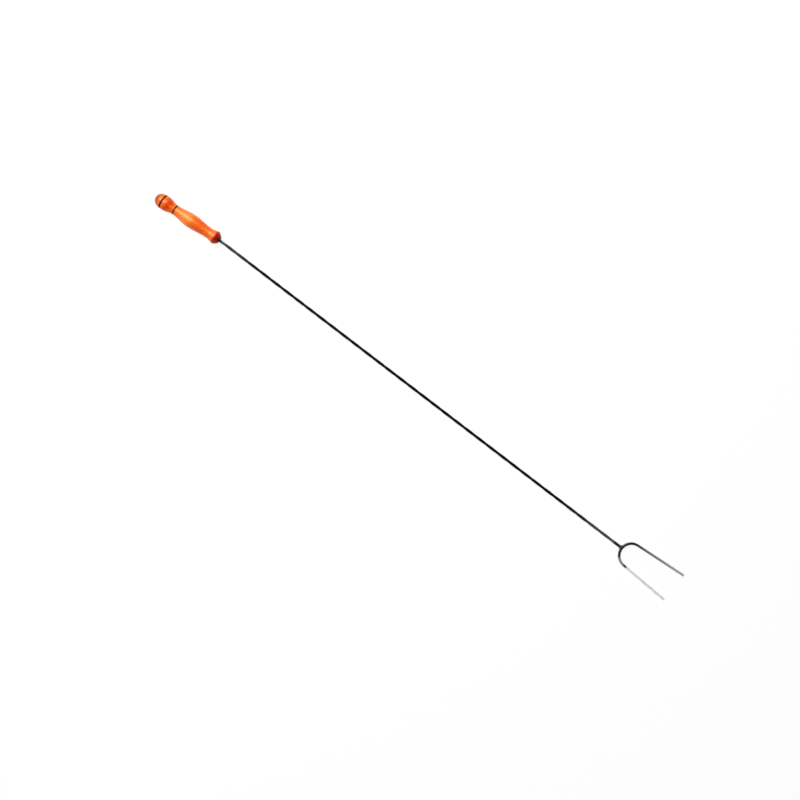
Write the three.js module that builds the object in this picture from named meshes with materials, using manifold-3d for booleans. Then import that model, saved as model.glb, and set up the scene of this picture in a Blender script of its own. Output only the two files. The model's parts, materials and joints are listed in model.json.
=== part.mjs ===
// Long-handled two-tine roasting fork: a turned wooden handle, a twisted square rod, and a bent two-tine head
// that is welded to the rod's end.
//
// Millimetres, +Z up, +X from the handle to the tines. The fork lies as it does on the ground, on the belly
// of its handle and the tips of its tines. The origin is on the ground, under the middle of the fork.

import * as THREE from 'three';
import { mergeVertices } from 'three/addons/utils/BufferGeometryUtils.js';
import Module from 'manifold-3d';

const { clamp, degToRad, lerp } = THREE.MathUtils;

// ---------- Driving dimensions ----------

const CLEARANCE = 0.3; // left between pieces that touch on the real fork

// The handle's turned outline: its high and low points, each a distance from the butt and a radius.
const HANDLE_LENGTH = 125;
const DOME_LENGTH = 13;
const BULB = { at: 20, radius: 12 };
const NECK = { at: 37.5, radius: 8.4 };
const BELLY = { at: 67.5, radius: 11.8 };
const WAIST = { at: 105, radius: 8.9 };
const RIM = { at: 117.5, radius: 11.1 };
const NOSE_RADIUS = 5.6;
const NOSE_FULLNESS = 1.35; // 1 would be a straight cone from the rim to the nose

// Two rings burnt into the wood.
const RINGS = [14.6, 38.3];
const RING_WIDTH = 1.8;
const RING_DEPTH = 0.7;

// The hole for the tang, which is drilled slightly off the handle's axis.
const HANDLE_CANT = degToRad(3);
const HOLE_RADIUS = 2.95;
const HOLE_DEPTH = 72;
const DRILL_POINT = 1.6;

// Square bar with blunted corners, for the rod and for the head.
const BAR_SIDE = 4.3;
const BAR_CHAMFER = 0.75;
const BAR_END_BEVEL = 0.5;

const ROD_REACH = 828; // from the handle's nose to the middle of the bow's bar
const TANG_LENGTH = 70;
const QUARTER_TURN = 23.3; // length of rod in each quarter turn of its right-hand twist
const EDGE_UP = degToRad(45); // the tang has an edge up

// The head is bent and welded by eye: its tines are uneven, and it sits a little to the right and turned to
// the left.
const BOW_RADIUS = 20; // to the middle of the bar
const TINE_LENGTH = { left: 89.6, right: 87 };
const TINE_SPLAY = degToRad(3.5);
const HEAD_SHIFT = 0.7;
const HEAD_TURN = degToRad(0.65);

// The weld bead is an egg-shaped lump: its half sizes, and how far back from the bow's bar its middle is.
const BEAD = { x: 3.4, y: 4.6, z: 2.9 };
const BEAD_SETBACK = 2;

// Fineness of the faceted surfaces.
const ROUND_SIDES = 40;
const DOME_STEPS = 8;
const OUTLINE_STEP = 3;
const HOLE_SIDES = 24;
const TWIST_STEP = QUARTER_TURN / 6;
const BEND_STEP = 3;

// ---------- Booleans ----------

const wasm = await Module();
wasm.setup();

/** The solid inside a closed geometry. */
function toSolid(geometry) {
  const bare = geometry.clone();
  bare.deleteAttribute('normal');
  bare.deleteAttribute('uv');
  const merged = mergeVertices(bare);
  const corners = [...merged.index.array];
  const triVerts = [];
  for (let i = 0; i < corners.length; i += 3) {
    const triangle = corners.slice(i, i + 3);
    if (new Set(triangle).size === 3) triVerts.push(...triangle);
  }
  return new wasm.Manifold(new wasm.Mesh({
    numProp: 3,
    vertProperties: merged.attributes.position.array,
    triVerts: new Uint32Array(triVerts),
  }));
}

function toGeometry(solid) {
  const mesh = solid.getMesh();
  const geometry = new THREE.BufferGeometry();
  geometry.setAttribute('position', new THREE.BufferAttribute(mesh.vertProperties, mesh.numProp));
  geometry.setIndex(new THREE.BufferAttribute(mesh.triVerts, 1));
  geometry.computeVertexNormals();
  return geometry;
}

function cut(geometry, ...cutters) {
  return toGeometry(cutters.reduce((solid, cutter) => solid.subtract(toSolid(cutter)), toSolid(geometry)));
}

// ---------- Handle ----------

/** The outline's radius at a distance from the butt, without the rings. */
function outlineRadius(at) {
  if (at <= DOME_LENGTH) {
    return BULB.radius * Math.sqrt(1 - (1 - at / DOME_LENGTH) ** 2);
  }
  if (at >= RIM.at) {
    const run = (at - RIM.at) / (HANDLE_LENGTH - RIM.at);
    return lerp(RIM.radius, NOSE_RADIUS, run ** NOSE_FULLNESS);
  }
  const turns = [{ at: DOME_LENGTH, radius: BULB.radius }, BULB, NECK, BELLY, WAIST, RIM];
  const next = turns.findIndex((turn) => turn.at >= at);
  const [from, to] = [turns[next - 1], turns[next]];
  const run = (at - from.at) / (to.at - from.at);
  return lerp(from.radius, to.radius, (1 - Math.cos(Math.PI * run)) / 2);
}

/** Points of the outline from the butt to the nose, as (radius, distance from the butt). */
function handleProfile() {
  const stations = [];
  for (let i = 0; i < DOME_STEPS; i += 1) {
    stations.push(DOME_LENGTH * (1 - Math.cos((i / DOME_STEPS) * (Math.PI / 2))));
  }
  const bodySteps = Math.round((HANDLE_LENGTH - DOME_LENGTH) / OUTLINE_STEP);
  for (let i = 0; i <= bodySteps; i += 1) {
    stations.push(lerp(DOME_LENGTH, HANDLE_LENGTH, i / bodySteps));
  }
  const clearOfRings = stations.filter((at) => RINGS.every((ring) => Math.abs(at - ring) > RING_WIDTH));
  const points = clearOfRings.map((at) => new THREE.Vector2(outlineRadius(at), at));
  for (const ring of RINGS) {
    for (const side of [-1, 0, 1]) {
      const at = ring + (side * RING_WIDTH) / 2;
      points.push(new THREE.Vector2(outlineRadius(at) - (side === 0 ? RING_DEPTH : 0), at));
    }
  }
  points.sort((a, b) => a.y - b.y);
  points.push(new THREE.Vector2(0, HANDLE_LENGTH));
  return points;
}

/** A turned solid along +X, from a profile of (radius, distance along). */
function turned(profile, sides) {
  return new THREE.LatheGeometry(profile, sides).rotateZ(-Math.PI / 2);
}

/** The handle along +X, with the middle of its nose at the origin and the hole running off its axis. */
function handleGeometry() {
  const wood = turned(handleProfile(), ROUND_SIDES).translate(-HANDLE_LENGTH, 0, 0);
  const drill = turned(
    [
      new THREE.Vector2(0, -HOLE_DEPTH - DRILL_POINT),
      new THREE.Vector2(HOLE_RADIUS, -HOLE_DEPTH),
      new THREE.Vector2(HOLE_RADIUS, HOLE_RADIUS),
      new THREE.Vector2(0, HOLE_RADIUS),
    ],
    HOLE_SIDES,
  );
  return cut(wood, drill.rotateZ(-HANDLE_CANT));
}

// ---------- Bars ----------

/** The bar's section, a square with cut corners, grown by an even amount on every side. */
function barSection(grow) {
  const half = BAR_SIDE / 2 + grow;
  const corner = half - BAR_CHAMFER - grow * (2 - Math.SQRT2);
  const section = new THREE.Shape();
  section.moveTo(half, -corner);
  for (const [x, y] of [[half, corner], [corner, half], [-corner, half], [-half, corner],
    [-half, -corner], [-corner, -half], [corner, -half]]) {
    section.lineTo(x, y);
  }
  return section;
}

/** A straight bar along +Z from z = 0, with bevelled ends. */
function straightBar(length, step, grow) {
  const bar = new THREE.ExtrudeGeometry(barSection(grow), {
    depth: length - 2 * BAR_END_BEVEL,
    steps: Math.round(length / step),
    bevelThickness: BAR_END_BEVEL,
    bevelSize: BAR_END_BEVEL,
    bevelOffset: -BAR_END_BEVEL,
    bevelSegments: 1,
  });
  return bar.translate(0, 0, BAR_END_BEVEL);
}

/** Moves each vertex of a geometry to the place that a function gives for it. */
function reshape(geometry, place) {
  const position = geometry.attributes.position;
  const point = new THREE.Vector3();
  for (let i = 0; i < position.count; i += 1) {
    point.fromBufferAttribute(position, i);
    position.setXYZ(i, ...place(point));
  }
  geometry.computeVertexNormals();
  return geometry;
}

/** The rod along +X: a straight tang behind the handle's nose, at x = 0, and a twisted bar in front of it. */
function rodGeometry(reach, grow = 0) {
  const bar = straightBar(TANG_LENGTH + reach, TWIST_STEP, grow).translate(0, 0, -TANG_LENGTH);
  const axis = new THREE.Vector3(0, 0, 1);
  reshape(bar, (point) => {
    const turn = EDGE_UP + (Math.max(point.z, 0) / QUARTER_TURN) * (Math.PI / 2);
    return point.applyAxisAngle(axis, turn);
  });
  return bar.rotateY(Math.PI / 2);
}

/** The head: a bar bent round the bow, with the bow's centre at the origin, and straight beyond it. */
function headGeometry(grow = 0) {
  const halfBow = BOW_RADIUS * (Math.PI / 2 - TINE_SPLAY);
  const length = TINE_LENGTH.right + 2 * halfBow + TINE_LENGTH.left;
  const bar = straightBar(length, BEND_STEP, grow).translate(0, 0, -halfBow - TINE_LENGTH.right);
  return reshape(bar, ({ x, y, z }) => {
    const turn = clamp(z, -halfBow, halfBow) / BOW_RADIUS;
    const outward = BOW_RADIUS + x;
    const along = z - turn * BOW_RADIUS;
    return [
      along * Math.sin(turn) - outward * Math.cos(turn),
      along * Math.cos(turn) + outward * Math.sin(turn),
      y,
    ];
  });
}

/** The weld bead in the rod's frame: a lump with the rod's end and the bow cut out of it. */
function beadGeometry() {
  const lump = new THREE.SphereGeometry(1, HOLE_SIDES, HOLE_SIDES / 2).scale(BEAD.x, BEAD.y, BEAD.z);
  lump.translate(ROD_REACH - BEAD_SETBACK, 0, 0);
  const bow = headGeometry(CLEARANCE).rotateZ(HEAD_TURN).translate(ROD_REACH + BOW_RADIUS, -HEAD_SHIFT, 0);
  return cut(lump, rodGeometry(ROD_REACH, CLEARANCE), bow);
}

// ---------- Materials ----------

const lacqueredWood = new THREE.MeshStandardMaterial({ color: 0xe8651f, roughness: 0.28, metalness: 0 });
const blackSteel = new THREE.MeshStandardMaterial({ color: 0x17181a, roughness: 0.5, metalness: 0.7 });
const groundSteel = new THREE.MeshStandardMaterial({ color: 0x8d9299, roughness: 0.4, metalness: 0.9 });
const weldSteel = new THREE.MeshStandardMaterial({ color: 0x3a4048, roughness: 0.55, metalness: 0.8 });

// ---------- The fork ----------

function piece(name, geometry, material) {
  const mesh = new THREE.Mesh(geometry, material);
  mesh.name = name;
  return mesh;
}

const handle = piece('handle', handleGeometry(), lacqueredWood);
handle.rotation.z = HANDLE_CANT;

const rod = piece('rod', rodGeometry(ROD_REACH - BAR_SIDE / 2 - CLEARANCE), blackSteel);

const forkHead = piece('fork_head', headGeometry(), groundSteel);
forkHead.position.set(ROD_REACH + BOW_RADIUS, -HEAD_SHIFT, 0);
forkHead.rotation.z = HEAD_TURN;

const weldBead = piece('weld_bead', beadGeometry(), weldSteel);

// The rod leans down towards the tines by the angle that brings the longer one's tip as low as the handle's
// belly.
const leftSplay = TINE_SPLAY + HEAD_TURN;
const tipsX = ROD_REACH + BOW_RADIUS * (1 - Math.sin(leftSplay)) + TINE_LENGTH.left * Math.cos(leftSplay);
const bellyX = (BELLY.at - HANDLE_LENGTH) * Math.cos(HANDLE_CANT);
const lean = Math.asin((BELLY.radius - BAR_SIDE / 2) / (tipsX - bellyX));

const fork = new THREE.Group();
fork.add(handle, rod, forkHead, weldBead);
fork.rotation.y = lean;

const box = new THREE.Box3().setFromObject(fork, true);
const middle = box.getCenter(new THREE.Vector3());
fork.position.set(-middle.x, -middle.y, -box.min.z);

export default fork;
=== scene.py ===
"""The look of a long-handled roasting fork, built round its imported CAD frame.

Metres, +Z up, +X towards the tines.
"""

import json
import math

import bpy
from mathutils import Matrix, Vector, noise


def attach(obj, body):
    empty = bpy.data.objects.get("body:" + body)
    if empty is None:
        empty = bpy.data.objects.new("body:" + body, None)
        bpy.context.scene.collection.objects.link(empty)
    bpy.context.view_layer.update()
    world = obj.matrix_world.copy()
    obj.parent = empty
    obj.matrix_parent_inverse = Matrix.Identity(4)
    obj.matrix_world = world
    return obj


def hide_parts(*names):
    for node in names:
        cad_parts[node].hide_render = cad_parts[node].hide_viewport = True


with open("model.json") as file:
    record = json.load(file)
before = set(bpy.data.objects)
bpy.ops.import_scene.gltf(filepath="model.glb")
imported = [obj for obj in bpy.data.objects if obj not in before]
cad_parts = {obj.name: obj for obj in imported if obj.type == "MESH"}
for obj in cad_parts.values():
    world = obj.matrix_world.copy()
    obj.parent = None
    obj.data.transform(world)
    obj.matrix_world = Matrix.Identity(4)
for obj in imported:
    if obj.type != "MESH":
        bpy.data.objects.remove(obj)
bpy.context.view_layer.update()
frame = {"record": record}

MM = 0.001

# ---------- Dimensions, as in the CAD ----------

HANDLE_LENGTH = 125 * MM
DOME_LENGTH = 13 * MM
NOSE_RADIUS = 5.6 * MM
NOSE_FULLNESS = 1.35  # 1 would be a straight cone from the rim to the nose
BULB = (20 * MM, 12 * MM)  # each high or low point is a distance from the butt and a radius
NECK = (37.5 * MM, 8.4 * MM)
BELLY = (67.5 * MM, 11.8 * MM)
WAIST = (105 * MM, 8.9 * MM)
RIM = (117.5 * MM, 11.1 * MM)
RINGS = (14.6 * MM, 38.3 * MM)
RING_WIDTH = 1.8 * MM
RING_DEPTH = 0.7 * MM
HANDLE_CANT = math.radians(3)
HOLE_RADIUS = 2.95 * MM
HOLE_DEPTH = 72 * MM
DRILL_POINT = 1.6 * MM

BAR_SIDE = 4.3 * MM
BAR_END_BEVEL = 0.5 * MM
ROD_REACH = 828 * MM
ROD_END = ROD_REACH - BAR_SIDE / 2
TANG_LENGTH = 70 * MM
QUARTER_TURN = 23.3 * MM
EDGE_UP = math.radians(45)

BOW_RADIUS = 20 * MM
LEFT_TINE, RIGHT_TINE = 89.6 * MM, 87 * MM
TINE_SPLAY = math.radians(3.5)
HEAD_SHIFT = 0.7 * MM
HEAD_TURN = math.radians(0.65)
HALF_BOW = BOW_RADIUS * (math.pi / 2 - TINE_SPLAY)

# ---------- Finish ----------

NOSE_EDGE = 0.9 * MM  # the radius of the nose's rounded edge, outside and round the hole's mouth
BUTT_WEAR = 0.03 * MM
DRILL_TIP = HOLE_RADIUS / 20  # the drilled point is a little blunt
BAR_CORNER = 1.1 * MM
BAR_END_SIZE = 0.72  # of the section, at a bar's end
BAR_SHOULDER_SIZE = 0.88  # of the section, a third of a bevel in from the end
SHARP = math.radians(40)

# Dents: how big they are across, in millimetres, and how deep, in metres on the wood and as a share of the
# section on the bars and the weld.
WOOD_DENTS = (6, 0.03 * MM)
BAR_DENTS = (2.5, 0.05)
WELD_DENTS = (1.6, 0.12)

# The weld's outline, in millimetres: how far along the rod from the middle of the bow's bar, half width
# and half height.
WELD_PROFILE = (
    (-6.4, 2.1, 2.1), (-5.6, 2.5, 2.45), (-4.8, 2.75, 2.6), (-4.0, 3.1, 2.7),
    (-3.2, 3.7, 2.78), (-2.6, 4.3, 2.83), (-2.0, 4.8, 2.87), (-1.2, 4.9, 2.87),
    (-0.4, 4.3, 2.75), (0.4, 3.2, 2.5), (0.9, 1.8, 1.6),
)

# ---------- Fineness ----------

TURNED_SIDES = 128
WELD_SIDES = 48
DOME_START, DOME_STEP = 0.02, 0.04  # angles round the dome, from the middle of the butt
OUTLINE_STEP = 0.6 * MM
GROOVE_STEP = 0.12 * MM
EDGE_STEP = math.pi / 8
HOLE_STEP = 2 * MM
CORNER_STEP = math.pi / 10
FLAT_POINTS = (0.5, 0, -0.5)  # points across a bar's flat, as shares of its half width
ROD_STEP = 1 * MM
HEAD_STEP = 0.8 * MM

# ---------- Colours, linear, with alpha ----------

LACQUER_GLOSS = (1, 0.48, 0.18, 1)
LIGHT_WOOD = (0.78, 0.17, 0.01, 1)
MIDDLE_WOOD = (0.73, 0.115, 0.004, 1)
DARK_WOOD = (0.62, 0.068, 0.002, 1)
# Painted sheen where the belly's near half turns to the light.
PAINTED_SHEEN_ORANGE = (0.82, 0.27, 0.05, 1)
# Random deeper orange in the wood, and painted shade before the waist.
DEEP_ORANGE_AND_SHADE = (0.7, 0.07, 0.002, 1)
# Red by the bulb, partly deeper stain and partly painted shade on the flank turned from the light.
FLANK_STAIN_AND_SHADE_RED = (0.64, 0.02, 0.0005, 1)
PORE_SHADE = (0.5, 0.38, 0.4, 1)
TOASTED_WOOD = (0.2, 0.03, 0.004, 1)
BLACK_CHAR = (0.08, 0.006, 0.002, 1)
BROWN_CHAR = (0.17, 0.012, 0.001, 1)
END_GRAIN = (0.17, 0.03, 0.009, 1)
# The nose's red, partly stain and partly painted shade on the side turned from the light.
NOSE_STAIN_AND_SHADE_RED = (0.47, 0.009, 0.0005, 1)
NOSE_DARK_STAIN_AND_SHADE_RED = (0.3, 0.004, 0.001, 1)
# A darker patch on the nose above the hole.
NOSE_DARK_PATCH = (0.06, 0.003, 0.002, 1)
# Painted shade in the hole's mouth.
HOLE_MOUTH_SHADE = (0.01, 0.004, 0.003, 1)

BLACK_SCALE = (0.003, 0.003, 0.0032, 1)
WORN_EDGE = (0.12, 0.12, 0.13, 1)
# Painted shade on the rod next to the handle.
BLUE_BLACK_SHADE = (0.012, 0.016, 0.022, 1)
# Partly worn bare steel, partly a painted highlight.
RUBBED_STEEL_AND_HIGHLIGHT = (0.36, 0.41, 0.46, 1)
# A blue-grey ring on the rod near the weld.
WELD_SIDE_BLUE_GREY = (0.16, 0.19, 0.22, 1)
BLUE_SHADE = (0.8, 0.93, 1.0, 1)
STAIN_SHADE = (0.3, 0.3, 0.32, 1)
TINE_EDGE = (0.5, 0.5, 0.5, 1)
WELD_SCALE = (0.015, 0.017, 0.02, 1)
WELD_GREY = (0.06, 0.07, 0.09, 1)
WELD_BLUE = (0.34, 0.4, 0.48, 1)
WHITE = (1, 1, 1, 1)

# ---------- Studio ----------

ROLL = math.radians(37.405)  # the rod's slope across the picture
CAMERA_HEIGHT = 1.6415
CAMERA_OVER = Vector((0.3919, -0.0281, 0))  # the point under the camera, in the rod's own frame
LENS = 45  # millimetres, on a sensor 36 mm wide
KEY_DIRECTION = (-0.85, 0.2, 1.0)
KEY_DISTANCE = 2.2
KEY_SIDE = 1.6
KEY_POWER = 72
WORLD_LIGHT = 0.12
FLOOR_GLOW = 0.9
FLOOR_TONE = 0.12
HORIZON = (0.03, 0.3)  # the heights, from 0 to 1 overhead, between which the room dims
STAGE_RADIUS = 12.0
STAGE_SIDES = 96
WALL_HEIGHT = 12.0


# ---------- Places in the row frame ----------


def on_head(along, outward=0.0, up=0.0):
    """A point of the head's bar, by distance along it from the bow's middle. The bow's centre is at zero."""
    turn = max(-HALF_BOW, min(HALF_BOW, along)) / BOW_RADIUS
    straight = along - turn * BOW_RADIUS
    reach = BOW_RADIUS + outward
    return Vector((
        straight * math.sin(turn) - reach * math.cos(turn),
        straight * math.cos(turn) + reach * math.sin(turn),
        up,
    ))


# From the head's frame, with the bow's centre at zero, to the rod's own.
HEAD_ON_ROD = (
    Matrix.Translation((ROD_REACH + BOW_RADIUS, -HEAD_SHIFT, 0)) @ Matrix.Rotation(HEAD_TURN, 4, "Z")
)


def place_fork():
    """The rod's own frame in the row frame: the middle of the handle's nose, with +X along the rod."""
    mounts = {mount["name"]: mount for mount in frame["record"]["mounts"]}
    underside = mounts["left_tine_underside"]
    lean = Matrix.Rotation(math.asin(-underside["axis"][0]), 4, "Y")
    middle_of_tine = HEAD_ON_ROD @ on_head(HALF_BOW + LEFT_TINE / 2, up=-BAR_SIDE / 2)
    return Matrix.Translation(Vector(underside["pos_m"]) - lean @ middle_of_tine) @ lean


ROD_FRAME = place_fork()
HANDLE_FRAME = ROD_FRAME @ Matrix.Rotation(HANDLE_CANT, 4, "Z") @ Matrix.Translation((-HANDLE_LENGTH, 0, 0))
HEAD_FRAME = ROD_FRAME @ HEAD_ON_ROD
WELD_FRAME = ROD_FRAME @ Matrix.Translation((ROD_REACH, 0, 0))


# ---------- Mesh making ----------


def lerp(low, high, share):
    return low + (high - low) * share


def steps(low, high, spacing):
    """Evenly spaced values from low to high, both ends included, about spacing apart."""
    count = max(1, round((high - low) / spacing))
    return [lerp(low, high, i / count) for i in range(count + 1)]


def average(values):
    return sum(values[1:], values[0]) / len(values)


def dent(place, size, depth):
    """How far the surface is worn in at a place, from 0 to depth, in smooth patches about size across."""
    return depth * (0.5 + 0.5 * noise.noise(place / size))


def skin(name, rings, matrix, material, node):
    """
    A closed piece from rings of (point, place, edge), ordered from end to end, with a fan over each end.

    The place, in millimetres, follows the wood or the bar, and its pattern with it. The edge is 1 on a
    bar's corners.
    """
    sides = len(rings[0])
    corners = [corner for ring in rings for corner in ring]
    faces = []
    for ring in range(len(rings) - 1):
        for side in range(sides):
            low, low_next = (ring * sides + i for i in (side, (side + 1) % sides))
            faces.append((low, low_next, low_next + sides, low + sides))
    for ring, order in ((0, -1), (len(rings) - 1, 1)):
        centre = len(corners)
        corners.append(tuple(average([corner[i] for corner in rings[ring]]) for i in range(3)))
        for side in range(sides):
            edge = (ring * sides + side, ring * sides + (side + 1) % sides)
            faces.append((*edge[::order], centre))
    mesh = bpy.data.meshes.new(name)
    mesh.from_pydata([matrix @ point for point, _, _ in corners], [], faces)
    places = mesh.attributes.new("place", "FLOAT_VECTOR", "POINT")
    places.data.foreach_set("vector", [value for _, place, _ in corners for value in place])
    edges = mesh.attributes.new("edge", "FLOAT", "POINT")
    edges.data.foreach_set("value", [edge for _, _, edge in corners])
    mesh.shade_smooth()
    mesh.set_sharp_from_angle(angle=SHARP)
    mesh.materials.append(material)
    piece = bpy.data.objects.new(name, mesh)
    bpy.context.scene.collection.objects.link(piece)
    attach(piece, "root")
    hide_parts(node)


# ---------- Node trees ----------


class Shader:
    """A material's node tree, with short ways to add nodes and join them up."""

    def __init__(self, name, **constants):
        self.material = bpy.data.materials.new(name)
        self.material.use_nodes = True
        self.tree = self.material.node_tree
        self.surface = self.tree.nodes["Principled BSDF"]
        self.feed(**constants)

    def add(self, kind, inputs=None, **settings):
        node = self.tree.nodes.new(kind)
        for key, value in settings.items():
            setattr(node, key, value)
        for key, value in (inputs or {}).items():
            self.set(node.inputs[key], value)
        return node

    def set(self, socket, value):
        if isinstance(value, bpy.types.NodeSocket):
            self.tree.links.new(value, socket)
        else:
            socket.default_value = value

    def feed(self, **sockets):
        """Sets or links the surface's sockets, whose names have _ for each space."""
        for socket, value in sockets.items():
            self.set(self.surface.inputs[socket.replace("_", " ")], value)

    def stored(self, name, output):
        return self.add("ShaderNodeAttribute", attribute_name=name).outputs[output]

    def place(self, stretch=(1, 1, 1), move=(0, 0, 0)):
        """The place on the piece, in millimetres, moved and then scaled along each axis."""
        inputs = {0: self.stored("place", "Vector"), 1: move}
        moved = self.add("ShaderNodeVectorMath", inputs, operation="ADD").outputs[0]
        return self.add("ShaderNodeVectorMath", {0: moved, 1: stretch}, operation="MULTIPLY").outputs[0]

    def off_axis(self, move=(0, 0, 0)):
        """The distance from the piece's own axis, in millimetres, once the place is moved."""
        across = self.place((0, 1, 1), move)
        return self.add("ShaderNodeVectorMath", {0: across}, operation="LENGTH").outputs["Value"]

    def axis(self, which):
        """The place along one axis, in millimetres."""
        return self.add("ShaderNodeSeparateXYZ", {0: self.stored("place", "Vector")}).outputs[which]

    def math(self, operation, first, second=0.0, third=0.0, clamp=False):
        inputs = {0: first, 1: second, 2: third}
        return self.add("ShaderNodeMath", inputs, operation=operation, use_clamp=clamp).outputs[0]

    def waver(self, value, pattern, width):
        """The value, moved up or down by up to half the width as a pattern from 0 to 1 varies."""
        return self.math("MULTIPLY_ADD", pattern, width, self.math("ADD", value, -width / 2))

    def noise(self, vector, scale, detail=4.0, roughness=0.5):
        inputs = {"Vector": vector, "Scale": scale, "Detail": detail, "Roughness": roughness}
        return self.add("ShaderNodeTexNoise", inputs).outputs["Fac"]

    def spread(self, value, low, high, to_low=0.0, to_high=1.0):
        """The value stretched so that low to high becomes to_low to to_high, and held there beyond."""
        inputs = {"Value": value, "From Min": low, "From Max": high, "To Min": to_low, "To Max": to_high}
        return self.add("ShaderNodeMapRange", inputs).outputs["Result"]

    def curve(self, value, points):
        """A value read off a line through (value, result) points, held at its ends."""
        low, high = points[0][0], points[-1][0]
        stops = [((at - low) / (high - low), (result, result, result)) for at, result in points]
        return self.ramp(self.spread(value, low, high), stops)

    def mix(self, share, first, second, blend="MIX"):
        inputs = {0: share, 6: first, 7: second}
        return self.add("ShaderNodeMix", inputs, data_type="RGBA", blend_type=blend).outputs[2]

    def ramp(self, value, stops):
        """A colour ramp from (place, colour) stops."""
        node = self.add("ShaderNodeValToRGB", {0: value})
        elements = node.color_ramp.elements
        while len(elements) < len(stops):
            elements.new(0.5)
        for element, (where, colour) in zip(elements, stops):
            element.position = where
            element.color = (*colour[:3], 1)
        return node.outputs["Color"]

    def bump(self, height, distance):
        return self.add("ShaderNodeBump", {"Height": height, "Distance": distance}).outputs["Normal"]


# ---------- Handle ----------


def outline_radius(at):
    """The turned outline's radius at a distance from the butt, without the burnt rings."""
    if at <= DOME_LENGTH:
        return BULB[1] * math.sqrt(max(0.0, 1 - (1 - at / DOME_LENGTH) ** 2))
    if at >= RIM[0]:
        run = (at - RIM[0]) / (HANDLE_LENGTH - RIM[0])
        return lerp(RIM[1], NOSE_RADIUS, run**NOSE_FULLNESS)
    turns = ((DOME_LENGTH, BULB[1]), BULB, NECK, BELLY, WAIST, RIM)
    upper = next(i for i, turn in enumerate(turns) if turn[0] >= at)
    (low_at, low_radius), (high_at, high_radius) = turns[upper - 1], turns[upper]
    run = (at - low_at) / (high_at - low_at)
    return lerp(low_radius, high_radius, (1 - math.cos(math.pi * run)) / 2)


def ring_depth(at):
    """How deep the burnt rings are at a distance from the butt: rounded grooves."""
    nearest = min(abs(at - ring) for ring in RINGS)
    if nearest >= RING_WIDTH / 2:
        return 0.0
    return RING_DEPTH * math.cos(math.pi * nearest / RING_WIDTH) ** 2


def turned_ring(at, radius, centre_y=0.0):
    """A ring of the handle's skin at a distance from the butt, worn in a little."""
    ring = []
    for i in range(TURNED_SIDES):
        turn = math.tau * i / TURNED_SIDES
        place = Vector((at, centre_y + radius * math.cos(turn), radius * math.sin(turn))) / MM
        worn = radius - dent(place, *WOOD_DENTS)
        point = Vector((at, centre_y + worn * math.cos(turn), worn * math.sin(turn)))
        ring.append((point, place, 0.0))
    return ring


def outline_stations():
    """Distances from the butt for the rings of the outline, closest together across the burnt rings."""
    stations = [DOME_LENGTH * (1 - math.cos(turn)) for turn in steps(DOME_START, math.pi / 2, DOME_STEP)]
    stations += steps(DOME_LENGTH, HANDLE_LENGTH - NOSE_EDGE, OUTLINE_STEP)
    stations = [at for at in stations if all(abs(at - ring) > RING_WIDTH / 2 for ring in RINGS)]
    for ring in RINGS:
        stations += steps(ring - RING_WIDTH / 2, ring + RING_WIDTH / 2, GROOVE_STEP)
    return sorted(set(stations))


def handle_rings():
    """The handle's skin from the butt over the nose's rounded edge and down the hole to its bottom."""
    rings = []
    for at in outline_stations():
        worn = BUTT_WEAR * max(0.0, 1 - at / DOME_LENGTH)
        rings.append(turned_ring(at + worn, outline_radius(at) - ring_depth(at)))
    face = outline_radius(HANDLE_LENGTH - NOSE_EDGE)
    edge_turns = steps(0, math.pi / 2, EDGE_STEP)
    for turn in edge_turns:
        at = HANDLE_LENGTH - NOSE_EDGE * (1 - math.sin(turn))
        rings.append(turned_ring(at, face - NOSE_EDGE * (1 - math.cos(turn))))
    for turn in edge_turns:
        at = HANDLE_LENGTH - NOSE_EDGE * (1 - math.cos(turn))
        rings.append(turned_ring(at, HOLE_RADIUS + NOSE_EDGE * (1 - math.sin(turn))))
    for depth in steps(HOLE_STEP, HOLE_DEPTH, HOLE_STEP):
        rings.append(turned_ring(HANDLE_LENGTH - depth, HOLE_RADIUS, depth * math.tan(HANDLE_CANT)))
    bottom = HOLE_DEPTH + DRILL_POINT
    rings.append(turned_ring(HANDLE_LENGTH - bottom, DRILL_TIP, bottom * math.tan(HANDLE_CANT)))
    return rings


def wood_grain(shader, fibres):
    """Growth rings, cut lengthwise off their centre, and the fibres along them."""
    inputs = {
        "Vector": shader.place((0.25, 1, 1), (10, 9, 16)),
        "Scale": 0.12,
        "Distortion": 3.5,
        "Detail": 2,
        "Detail Scale": 0.8,
    }
    growth = shader.add(
        "ShaderNodeTexWave", inputs, wave_type="RINGS", rings_direction="X", wave_profile="SAW",
    ).outputs["Fac"]
    return shader.math("ADD", shader.math("MULTIPLY", growth, 0.5), shader.math("MULTIPLY", fibres, 0.5))


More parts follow.
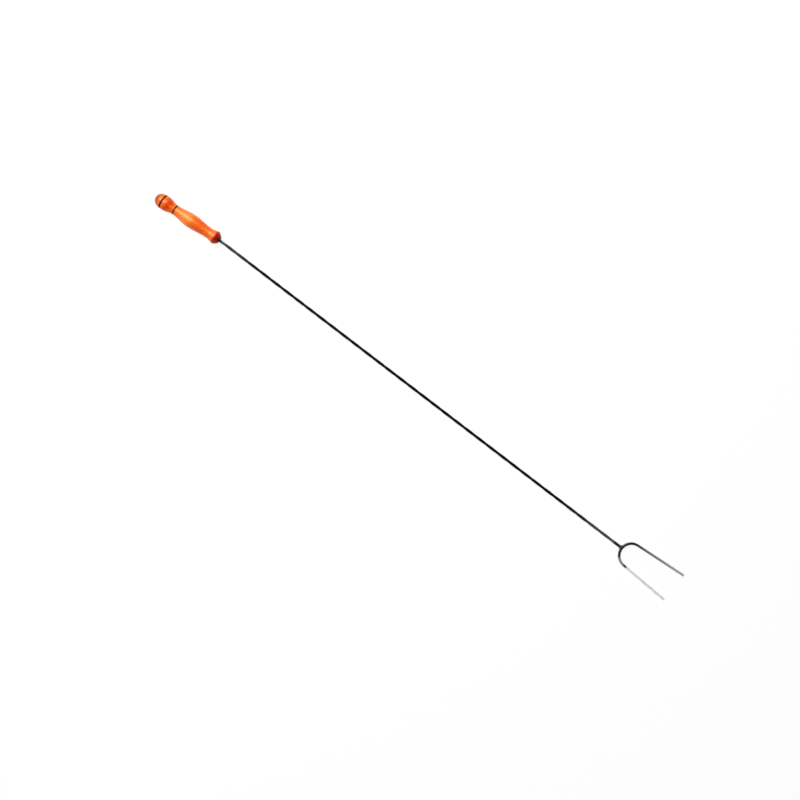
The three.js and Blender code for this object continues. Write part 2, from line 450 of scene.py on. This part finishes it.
def lacquer_wood(shader, grain, along):
    """Wood under lacquer with random deeper orange, a painted sheen on the belly's near half, painted shade
    before the waist, and red by the bulb, partly stain and partly painted shade.
    """
    wood = shader.ramp(grain, [(0.15, LIGHT_WOOD), (0.5, MIDDLE_WOOD), (0.85, DARK_WOOD)])
    drift = shader.noise(shader.place((0.3, 1, 1)), 0.12, detail=2)
    wood = shader.mix(shader.spread(drift, 0.35, 0.7, 0, 0.5), wood, DEEP_ORANGE_AND_SHADE)
    wavering = shader.waver(along, drift, 20.0)
    # Painted sheen on the belly's near half, painted shade before the waist, and red by the bulb, partly
    # stain and partly painted shade.
    sheen_and_shade_zones = (
        (PAINTED_SHEEN_ORANGE, [(40, 0), (50, 0.25), (58, 0.5), (66, 0.5), (74, 0)]),
        (DEEP_ORANGE_AND_SHADE, [(70, 0), (78, 0.4), (94, 0.45), (101, 0)]),
        (FLANK_STAIN_AND_SHADE_RED, [(18.5, 0), (22.5, 0.85), (26.5, 0.9), (30.5, 0)]),
    )
    for colour, points in sheen_and_shade_zones:
        wood = shader.mix(shader.curve(wavering, points), wood, colour)
    pores = shader.noise(shader.place((0.12, 1, 1)), 3.4, detail=2)
    pored = shader.mix(1.0, wood, PORE_SHADE, "MULTIPLY")
    return shader.mix(shader.spread(pores, 0.62, 0.7, 0, 0.5), wood, pored)


def burn_rings(shader, wood, along, nearest, burnt):
    """Char in the two burnt rings, browner in the second, with toasted wood beside it."""
    wood = shader.mix(shader.spread(nearest, 1.2, 2.8, 0.45, 0), wood, TOASTED_WOOD)
    char = shader.mix(shader.spread(along, 20, 30), BLACK_CHAR, BROWN_CHAR)
    return shader.mix(burnt, wood, char)


def darken_ends(shader, wood, grain, ragged, nose):
    """The butt's open end grain, which took up more stain, and the nose's red, partly stain and partly
    painted shade where it turns from the light.
    """
    end_grain = shader.math(
        "MULTIPLY", shader.spread(ragged, 5.8, 10.8, 1, 0), shader.spread(grain, 0.3, 0.7, 0.7, 1),
    )
    wood = shader.mix(end_grain, wood, END_GRAIN)
    deeper = shader.math(
        "ADD", shader.spread(ragged, 118, 121), shader.spread(grain, 0.25, 0.75, -0.6, 0.6), clamp=True,
    )
    # The nose's red is partly stain and partly painted shade.
    return shader.mix(nose, wood, shader.mix(deeper, NOSE_STAIN_AND_SHADE_RED, NOSE_DARK_STAIN_AND_SHADE_RED))


def darken_hole_mouth(shader, wood, along):
    """Painted shade in the mouth of the hole, and a darker patch further out on the nose's upper side."""
    # A darker patch on the nose's upper side, above the hole.
    upper_side = shader.off_axis((0, 0.3, -3.6))
    dark_patch = shader.math(
        "MULTIPLY", shader.spread(upper_side, 3.8, 5.6, 1, 0), shader.spread(along, 117.5, 119.5),
    )
    wood = shader.mix(dark_patch, wood, NOSE_DARK_PATCH)
    # Painted shade in the hole's mouth.
    mouth = shader.math(
        "MULTIPLY", shader.spread(shader.off_axis(), 3.2, 4.4, 1, 0), shader.spread(along, 120, 124),
    )
    return shader.mix(mouth, wood, HOLE_MOUTH_SHADE)


def lacquered_wood():
    """Orange lacquer over straight-grained wood, with two burnt rings, a red nose that is partly painted
    shade, a darker patch above the hole and painted shade in its mouth.
    """
    shader = Shader(
        "lacquered_wood",
        Coat_Roughness=0.2,
        Coat_IOR=1.5,
        Specular_IOR_Level=0.6,
        Specular_Tint=LACQUER_GLOSS,
    )
    along = shader.axis(0)
    ragged = shader.waver(along, shader.noise(shader.place(), 0.9, detail=3), 0.9)
    nearest = shader.math("MINIMUM", *(
        shader.math("ABSOLUTE", shader.math("SUBTRACT", ragged, ring / MM)) for ring in RINGS
    ))
    burnt = shader.spread(nearest, 1.1, 1.6, 0.97, 0)
    nose = shader.spread(ragged, RIM[0] / MM - 2.7, RIM[0] / MM - 1.5)
    fibres = shader.noise(shader.place((0.06, 1, 1)), 2.2, detail=3, roughness=0.6)
    grain = wood_grain(shader, fibres)

    wood = lacquer_wood(shader, grain, along)
    wood = burn_rings(shader, wood, along, nearest, burnt)
    wood = darken_ends(shader, wood, grain, ragged, nose)
    wood = darken_hole_mouth(shader, wood, along)
    dull = shader.math("MULTIPLY", burnt, 0.9)
    shader.feed(
        Base_Color=wood,
        Coat_Weight=shader.spread(shader.math("MAXIMUM", burnt, nose), 0, 1, 0.32, 0),
        Roughness=shader.math("MAXIMUM", shader.spread(fibres, 0.3, 0.7, 0.36, 0.46), dull),
        Normal=shader.bump(shader.math("ADD", fibres, shader.noise(shader.place(), 0.5)), 0.015 * MM),
    )
    return shader.material


def make_handle():
    skin("turned_handle", handle_rings(), HANDLE_FRAME, lacquered_wood(), "handle")


# ---------- Bars ----------


def bar_section():
    """Points round the square bar's section, each with its place on a rounded corner from 0 to 1."""
    points = []
    middle = BAR_SIDE / 2 - BAR_CORNER
    for quarter in range(4):
        turn = Matrix.Rotation(quarter * math.pi / 2, 2)
        for angle in steps(0, math.pi / 2, CORNER_STEP):
            point = Vector((middle + BAR_CORNER * math.cos(angle), middle + BAR_CORNER * math.sin(angle)))
            points.append((turn @ point, math.sin(2 * angle)))
        for across in FLAT_POINTS:
            points.append((turn @ Vector((across * middle, BAR_SIDE / 2)), 0.0))
    return points


def bar_rings(low, high, spacing, put):
    """The skin of a bar between two distances along it, narrowed at its ends, put in place by a function."""
    shoulder = BAR_END_BEVEL / 3
    stations = [(low, BAR_END_SIZE), (low + shoulder, BAR_SHOULDER_SIZE)]
    stations += [(along, 1.0) for along in steps(low + BAR_END_BEVEL, high - BAR_END_BEVEL, spacing)]
    stations += [(high - shoulder, BAR_SHOULDER_SIZE), (high, BAR_END_SIZE)]
    rings = []
    for along, size in stations:
        ring = []
        for point, edge in bar_section():
            place = Vector((along, point.x, point.y)) / MM
            worn = size - dent(place, *BAR_DENTS)
            ring.append((put(along, point * worn), place, edge))
        rings.append(ring)
    return rings


def on_rod(along, point):
    """Where a point of the bar's section lies on the twisted rod."""
    turned = Matrix.Rotation(EDGE_UP + max(along, 0) / QUARTER_TURN * math.pi / 2, 2) @ point
    return Vector((along, turned.y, -turned.x))


def on_bent_bar(along, point):
    """Where a point of the bar's section lies on the head."""
    return on_head(along, point.x, point.y)


def black_steel():
    """Black steel, greyer towards both ends of the rod; by the handle a lighter corner, partly worn bare
    steel and partly a painted highlight, over painted shade, and a blue-grey ring near the weld.
    """
    shader = Shader("black_steel", Specular_IOR_Level=0.05)
    along = shader.axis(0)
    patches = shader.noise(shader.place(), 0.45, detail=6, roughness=0.65)
    near = shader.curve(along, [(0, 0.05), (45, 0.035), (60, 0.012), (85, 0.004), (200, 0.003)])
    far = shader.curve(along, [
        (700, 0.0), (750, 0.025), (765, 0.08), (800, 0.09), (814, 0.04), (830, 0.03),
    ])
    tone = shader.mix(1.0, near, far, "ADD")
    tone = shader.mix(shader.spread(patches, 0.4, 0.75, 0, 0.75), tone, BLACK_SCALE)
    worn = shader.math("MULTIPLY", shader.stored("edge", "Fac"), shader.spread(patches, 0.5, 0.7, 0, 0.25))
    tone = shader.mix(worn, tone, WORN_EDGE)

    # Next to the handle one corner is lighter, partly worn bare steel and partly a painted highlight, and the
    # rest of the bar there is painted shade; near the weld a ring is blue-grey.
    ragged = shader.waver(along, patches, 14.0)
    by_handle = shader.curve(ragged, [(3, 1), (7, 1), (10.5, 0)])
    tone = shader.mix(shader.math("MULTIPLY", by_handle, 0.8), tone, BLUE_BLACK_SHADE)
    corner = shader.math("ADD", shader.axis(1), shader.axis(2))
    rubbed_and_lit = shader.math("MULTIPLY", by_handle, shader.spread(corner, 1.4, 3.2))
    tone = shader.mix(rubbed_and_lit, tone, RUBBED_STEEL_AND_HIGHLIGHT)
    by_weld = shader.curve(ragged, [(803.5, 0), (806, 0.65), (810, 0.65), (812.5, 0)])
    tone = shader.mix(by_weld, tone, WELD_SIDE_BLUE_GREY)
    shader.feed(
        Base_Color=tone,
        Metallic=shader.math("MAXIMUM", rubbed_and_lit, shader.curve(along, [(750, 0), (830, 0.6)])),
        Roughness=shader.spread(patches, 0.3, 0.7, 0.38, 0.62),
        Normal=shader.bump(patches, 0.05 * MM),
    )
    return shader.material


def tine_steel():
    """Steel blackened by welding round the bow, with a lighter bluish patch where the right tine leaves it;
    the right tine bright and the left greyer towards its tip, both partly bare steel and partly a painted
    reflection.
    """
    shader = Shader("tine_steel", Specular_IOR_Level=0.4)
    patches = shader.noise(shader.place(), 0.45, detail=6, roughness=0.65)
    scratches = shader.noise(shader.place((0.05, 1, 1)), 3.0, detail=4, roughness=0.6)
    along = shader.waver(shader.axis(0), patches, 5.0)
    # Bright on the right tine and greyer towards the left tine's tip: partly bare steel, partly a painted
    # reflection of the bright room.
    tone = shader.curve(along, [
        (-120, 1.0), (-37, 0.95), (-34.5, 0.05), (-31, 0.08), (-28, 0.42), (-17, 0.4), (-13.5, 0.03),
        (0, 0.006), (24, 0.008), (31, 0.07), (45, 0.26), (70, 0.42), (120, 0.75),
    ])
    bluish_patch = shader.curve(along, [(-32, 0), (-27, 1), (-17, 1), (-13, 0)])
    tone = shader.mix(bluish_patch, tone, shader.mix(1.0, tone, BLUE_SHADE, "MULTIPLY"))
    stained = shader.mix(1.0, tone, STAIN_SHADE, "MULTIPLY")
    marks = shader.math("MULTIPLY_ADD", scratches, 0.6, shader.math("MULTIPLY", patches, 0.4))
    tone = shader.mix(shader.spread(marks, 0.42, 0.72, 0, 0.5), tone, stained)
    tone = shader.mix(shader.math("MULTIPLY", shader.stored("edge", "Fac"), 0.2), tone, TINE_EDGE)
    shader.feed(
        Base_Color=tone,
        Metallic=shader.curve(along, [(-40, 0.12), (0, 0.5), (40, 0.5)]),
        Roughness=shader.spread(scratches, 0.3, 0.7, 0.34, 0.56),
        Normal=shader.bump(marks, 0.04 * MM),
    )
    return shader.material


def weld_steel():
    """Weld metal that froze in ripples, black with scale and blue where the scale came off."""
    shader = Shader("weld_steel", Specular_IOR_Level=0.4, Metallic=0.6)
    patches = shader.noise(shader.place(), 0.55, detail=5, roughness=0.6)
    ripples = shader.add(
        "ShaderNodeTexWave",
        {"Vector": shader.place((1, 0.35, 0.35)), "Scale": 0.3, "Distortion": 2.5, "Detail": 1},
        wave_type="BANDS", bands_direction="X", wave_profile="SIN",
    ).outputs["Fac"]
    height = shader.math("MULTIPLY_ADD", ripples, 0.25, patches)
    shader.feed(
        Base_Color=shader.ramp(patches, [(0.42, WELD_SCALE), (0.54, WELD_GREY), (0.66, WELD_BLUE)]),
        Roughness=shader.spread(patches, 0.3, 0.7, 0.32, 0.55),
        Normal=shader.bump(height, 0.15 * MM),
    )
    return shader.material


def make_rod():
    rings = bar_rings(-TANG_LENGTH, ROD_END, ROD_STEP, on_rod)
    skin("twisted_rod", rings, ROD_FRAME, black_steel(), "rod")


def make_head():
    rings = bar_rings(-HALF_BOW - RIGHT_TINE, HALF_BOW + LEFT_TINE, HEAD_STEP, on_bent_bar)
    skin("bent_head", rings, HEAD_FRAME, tine_steel(), "fork_head")


def make_weld():
    """A lump of weld that narrows from the bow into the rod, rippled where it froze."""
    rings = []
    for x, half_y, half_z in WELD_PROFILE:
        ring = []
        for turn in (math.tau * i / WELD_SIDES for i in range(WELD_SIDES)):
            place = Vector((x, half_y * math.cos(turn), half_z * math.sin(turn)))
            size = 1 - dent(place, *WELD_DENTS)
            ring.append((Vector((place.x, place.y * size, place.z * size)) * MM, place, 0.0))
        rings.append(ring)
    skin("weld_fillet", rings, WELD_FRAME, weld_steel(), "weld_bead")


# ---------- Studio ----------


def add_camera():
    data = bpy.data.cameras.new("camera")
    data.lens = LENS
    camera = bpy.data.objects.new("camera", data)
    under = ROD_FRAME @ CAMERA_OVER
    camera.location = (under.x, under.y, CAMERA_HEIGHT)
    camera.rotation_euler = (0, 0, ROLL)
    bpy.context.scene.collection.objects.link(camera)
    bpy.context.scene.camera = camera


def add_key_light():
    """A square softbox that faces the middle of the floor."""
    data = bpy.data.lights.new("key_light", "AREA")
    data.shape = "SQUARE"
    data.size = KEY_SIDE
    data.energy = KEY_POWER
    light = bpy.data.objects.new("key_light", data)
    light.location = Vector(KEY_DIRECTION).normalized() * KEY_DISTANCE
    light.rotation_euler = (-light.location).to_track_quat("-Z", "Y").to_euler()
    light.visible_camera = False
    bpy.context.scene.collection.objects.link(light)


def add_stage(name, corners, faces, tone):
    """A glowing part of the studio, whose tone is how much it brightens further where light falls on it."""
    mesh = bpy.data.meshes.new(name)
    mesh.from_pydata(corners, [], faces)
    shader = Shader(name, Roughness=0.9, Specular_IOR_Level=0.0, Base_Color=(tone, tone, tone, 1))
    shader.feed(Emission_Color=WHITE, Emission_Strength=FLOOR_GLOW)
    mesh.materials.append(shader.material)
    stage = bpy.data.objects.new(name, mesh)
    bpy.context.scene.collection.objects.link(stage)
    return stage


def add_floor_and_backdrop():
    """A round light table, and round it a wall that glows as brightly but neither lights nor shades."""
    turns = [math.tau * i / STAGE_SIDES for i in range(STAGE_SIDES)]
    rim = [(STAGE_RADIUS * math.cos(turn), STAGE_RADIUS * math.sin(turn), 0) for turn in turns]
    add_stage("floor", rim, [range(STAGE_SIDES)], FLOOR_TONE)
    top = [(x, y, WALL_HEIGHT) for x, y, _ in rim]
    following = [(i, (i + 1) % STAGE_SIDES) for i in range(STAGE_SIDES)]
    sides = [(low, low_next, low_next + STAGE_SIDES, low + STAGE_SIDES) for low, low_next in following]
    wall = add_stage("backdrop", rim + top, sides, 0.0)
    wall.visible_diffuse = False
    wall.visible_glossy = False
    wall.visible_shadow = False


def add_world():
    """A dim room that gets as bright as the light table towards the horizon."""
    world = bpy.data.worlds.new("studio")
    world.use_nodes = True
    tree = world.node_tree
    direction = tree.nodes.new("ShaderNodeTexCoord")
    height = tree.nodes.new("ShaderNodeSeparateXYZ")
    strength = tree.nodes.new("ShaderNodeMapRange")
    strength.interpolation_type = "SMOOTHSTEP"
    settings = {"From Min": HORIZON[0], "From Max": HORIZON[1], "To Min": FLOOR_GLOW, "To Max": WORLD_LIGHT}
    for socket, value in settings.items():
        strength.inputs[socket].default_value = value
    background = tree.nodes["Background"]
    background.inputs["Color"].default_value = WHITE
    tree.links.new(direction.outputs["Generated"], height.inputs[0])
    tree.links.new(height.outputs["Z"], strength.inputs["Value"])
    tree.links.new(strength.outputs["Result"], background.inputs["Strength"])
    bpy.context.scene.world = world


make_handle()
make_rod()
make_head()
make_weld()
add_camera()
add_world()
add_floor_and_backdrop()
add_key_light()
bpy.context.scene.view_settings.view_transform = "Standard"
